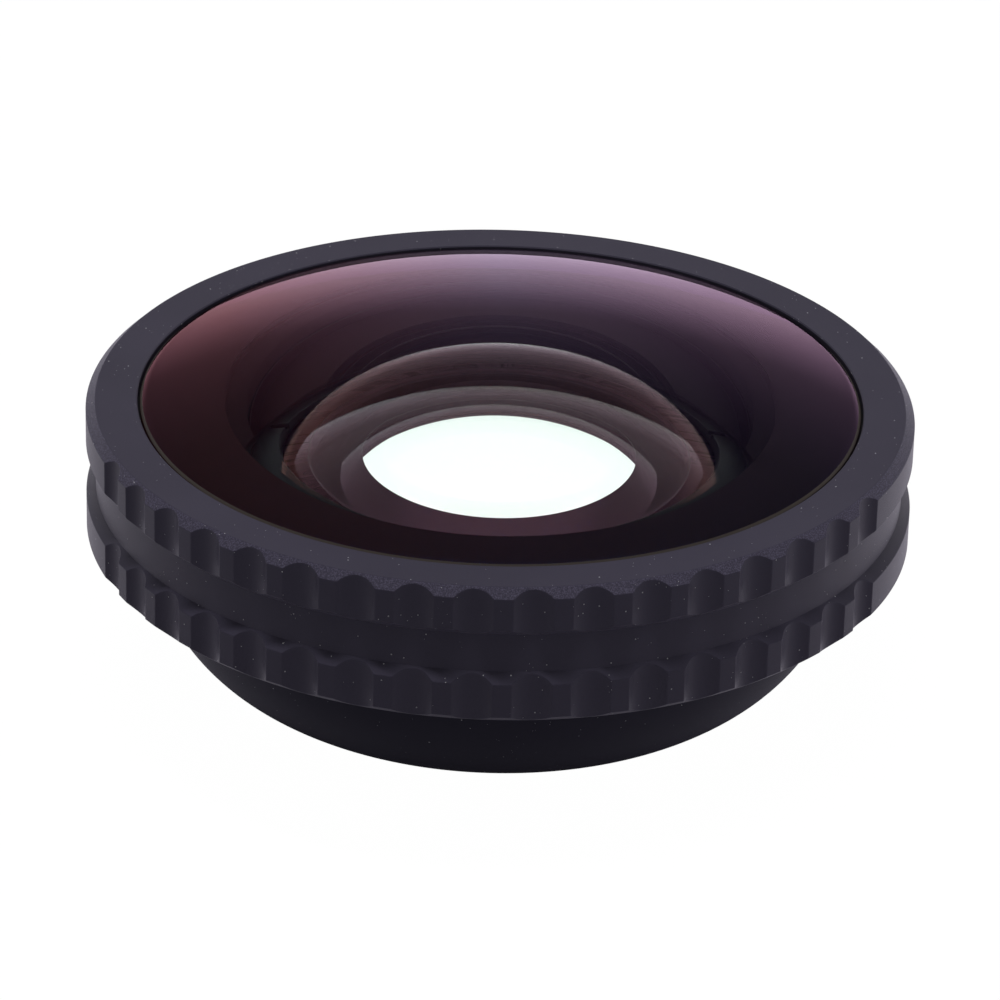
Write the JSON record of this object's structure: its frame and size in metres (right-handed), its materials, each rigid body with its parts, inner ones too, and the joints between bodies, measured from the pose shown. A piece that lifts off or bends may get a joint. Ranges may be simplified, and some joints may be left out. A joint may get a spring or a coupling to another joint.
{
  "type": "fisheye conversion lens",
  "caption": "Screw-on fisheye conversion lens: a scalloped black front barrel with a large domed glass on a bowl-shaped rear housing with a male filter thread.",
  "frame": {"origin": "centre of the end face of the rear thread, on which the lens stands", "axes": "+Z along the optical axis towards the front glass; the lens is round about it"},
  "size_m": [0.088, 0.088, 0.0397],
  "materials": {
    "black_anodised": "bead-blasted black anodised aluminium",
    "clear_aluminium": "turned aluminium, clear anodised",
    "front_glass": "polished, magenta anti-reflection coating",
    "inner_glass": "polished, violet anti-reflection coating",
    "black_rubber": "matt black elastomer",
    "blackened_metal": "matt black optical paint",
    "brass": "rolled brass",
    "screw_steel": "black oxide"
  },
  "bodies": {
    "rear_section": {"rear_housing": "black_anodised", "flare_stop": "blackened_metal", "second_element": "inner_glass", "second_retaining_ring": "blackened_metal", "focus_shim": "brass", "rear_cell": "blackened_metal", "crown_element": "inner_glass", "flint_element": "inner_glass", "rear_retaining_ring": "blackened_metal", "mount_ring": "clear_aluminium", "mount_screws": "screw_steel"},
    "seal_ring": {"joint_seal": "black_rubber"},
    "front_section": {"front_barrel": "black_anodised", "front_element": "front_glass", "edge_bond": "black_rubber", "seat_gasket": "black_rubber"}
  },
  "joints": [
    {"name": "front_lift", "type": "slide", "parent": "rear_section", "child": "seal_ring", "axis": [0, 0, 1], "range_m": [0, 0.00226]},
    {"name": "front_turn", "type": "hinge", "parent": "seal_ring", "child": "front_section", "pos_m": [0, 0, 0], "axis": [0, 0, 1], "range_deg": [0, 1080]}
  ],
  "couplings": [
    {"joint": "front_lift", "follows": "front_turn", "m_per_rad": 0.00011937}
  ]
}
